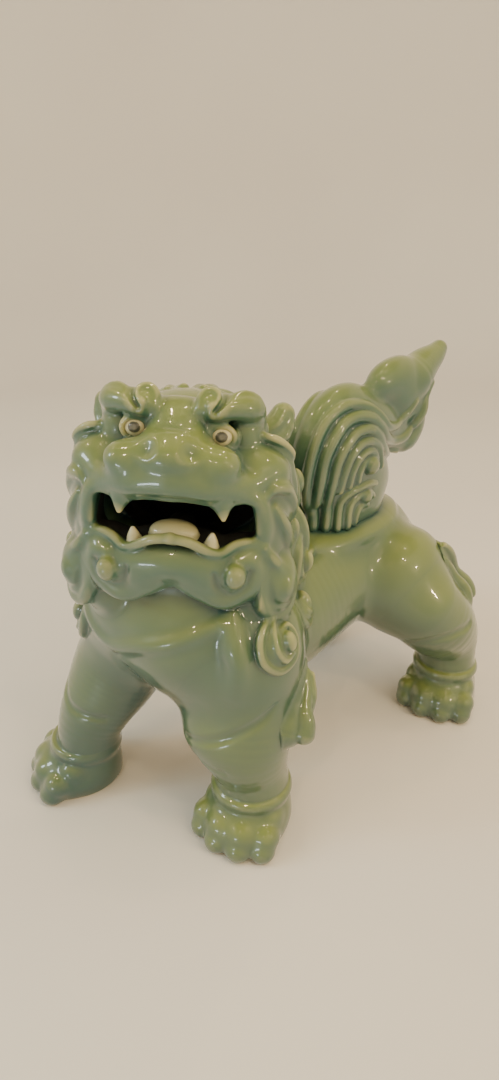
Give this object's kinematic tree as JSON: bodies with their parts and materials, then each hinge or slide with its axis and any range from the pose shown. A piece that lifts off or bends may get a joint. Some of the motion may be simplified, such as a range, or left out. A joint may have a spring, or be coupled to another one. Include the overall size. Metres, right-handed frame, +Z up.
{
  "type": "guardian lion statue",
  "caption": "Large hollow porcelain guardian lion in celadon glaze, open mouth, turned head and a scrolled flame tail, standing on its paws.",
  "frame": {"origin": "centre of the bounding box in X and Y, on the ground under the paws", "axes": "+Z up, -Y the way the body faces, +X toward the lion's left side; the head is turned toward +X"},
  "size_m": [0.2704, 0.433, 0.377],
  "materials": {
    "celadon_glaze": "thick glossy celadon glaze, pale where it thins over edges, blue-green where it pools",
    "cream_glaze": "thin glossy yellow-cream glaze",
    "eye_glaze": "glossy cream slip with a grey underglaze pupil"
  },
  "bodies": {
    "statue": {"trunk": "celadon_glaze", "head": "celadon_glaze", "lower_jaw": "celadon_glaze", "tongue": "cream_glaze", "upper_fang_left": "celadon_glaze", "lower_fang_left": "cream_glaze", "eye_left": "eye_glaze", "upper_fang_right": "celadon_glaze", "lower_fang_right": "cream_glaze", "eye_right": "eye_glaze", "front_leg_left": "celadon_glaze", "front_paw_left": "celadon_glaze", "front_leg_right": "celadon_glaze", "front_paw_right": "celadon_glaze", "hind_leg_left": "celadon_glaze", "hind_paw_left": "celadon_glaze", "hind_leg_right": "celadon_glaze", "hind_paw_right": "celadon_glaze", "brow_scroll_left": "celadon_glaze", "ear_left": "celadon_glaze", "brow_scroll_right": "celadon_glaze", "ear_right": "celadon_glaze", "mane_lock_1_left": "celadon_glaze", "mane_lock_1_right": "celadon_glaze", "mane_lock_2_left": "celadon_glaze", "mane_lock_2_right": "celadon_glaze", "mane_lock_3_left": "celadon_glaze", "mane_lock_3_right": "celadon_glaze", "mane_lock_4_left": "celadon_glaze", "mane_lock_4_right": "celadon_glaze", "mane_lock_5_left": "celadon_glaze", "mane_lock_5_right": "celadon_glaze", "mane_lock_7_left": "celadon_glaze", "mane_lock_7_right": "celadon_glaze", "mane_lock_8_left": "celadon_glaze", "mane_lock_8_right": "celadon_glaze", "mane_lock_6_left": "celadon_glaze", "mane_lock_6_right": "celadon_glaze", "mane_lock_crown": "celadon_glaze", "mane_lock_nape_left": "celadon_glaze", "mane_lock_nape_right": "celadon_glaze", "tuft_elbow_left": "celadon_glaze", "tuft_elbow_right": "celadon_glaze", "tuft_hock_left": "celadon_glaze", "tuft_hock_right": "celadon_glaze"},
    "tail": {"tail": "celadon_glaze", "tail_scroll_left": "celadon_glaze", "tail_scroll_right": "celadon_glaze"}
  },
  "joints": [
    {"name": "tail_lift", "type": "slide", "parent": "statue", "child": "tail", "axis": [0, 0, 1], "range_m": [0, 0.06]}
  ]
}
